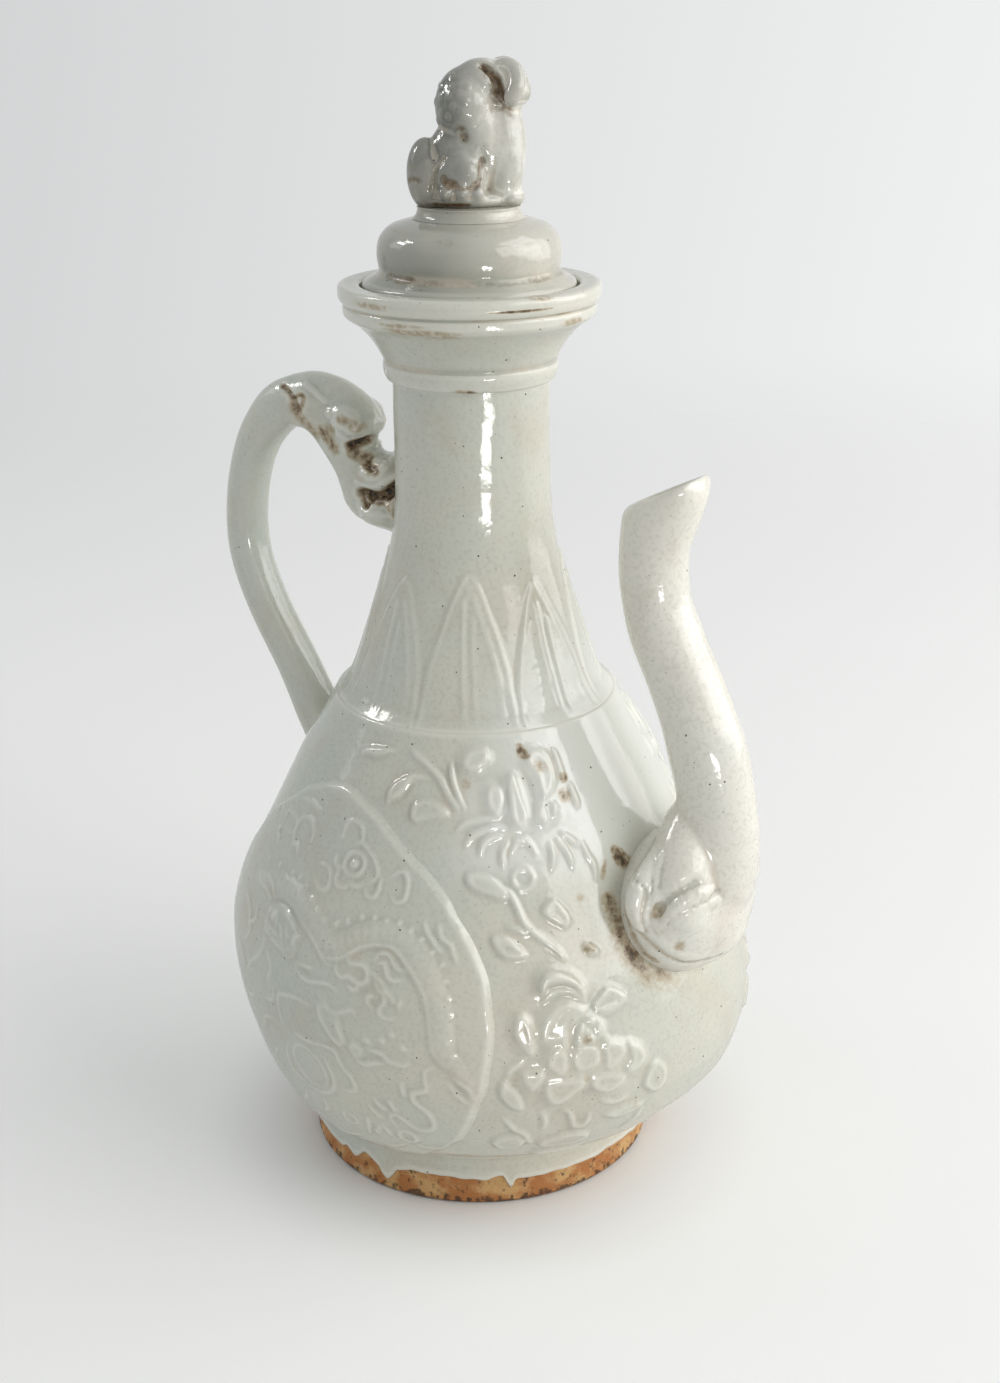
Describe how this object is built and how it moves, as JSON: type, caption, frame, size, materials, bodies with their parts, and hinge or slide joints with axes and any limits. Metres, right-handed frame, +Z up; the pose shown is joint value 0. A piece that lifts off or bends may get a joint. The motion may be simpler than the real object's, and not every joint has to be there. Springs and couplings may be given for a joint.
{
  "type": "lidded ewer",
  "caption": "Pear-shaped stoneware ewer with a foot ring, long neck, curved spout in a monster mask, dragon handle, peach-shaped side panels and a loose domed lid with a lion knob.",
  "frame": {"origin": "centre of the foot ring's underside, on the vessel's upright axis", "axes": "+Z up along the vessel's axis, +X from the handle towards the spout, +Y to the left of someone who holds the handle and looks along the spout"},
  "size_m": [0.171, 0.1484, 0.3045],
  "materials": {
    "glaze": "glossy pale grey-green glaze, iron-specked, pooled darker in the hollows of the relief",
    "warm_glaze": "the same glossy glaze, warmer and beige, with brown stains",
    "biscuit": "bare stoneware burnt orange-brown, matt and rough, glaze only in runs and splashes"
  },
  "bodies": {
    "vessel": {"foot_ring": "biscuit", "base_floor": "biscuit", "belly": "glaze", "neck": "glaze", "mouth_cup": "glaze", "spout": "warm_glaze", "spout_mask": "warm_glaze", "handle_loop": "glaze", "handle_head": "glaze", "panel_near": "glaze", "panel_far": "glaze"},
    "lid": {"lid_cover": "glaze", "lid_bezel": "biscuit", "finial_plinth": "glaze", "finial_lion": "glaze"}
  },
  "joints": [
    {"name": "lid_lift", "type": "slide", "parent": "vessel", "child": "lid", "axis": [0, 0, 1], "range_m": [0, 0.08]}
  ]
}
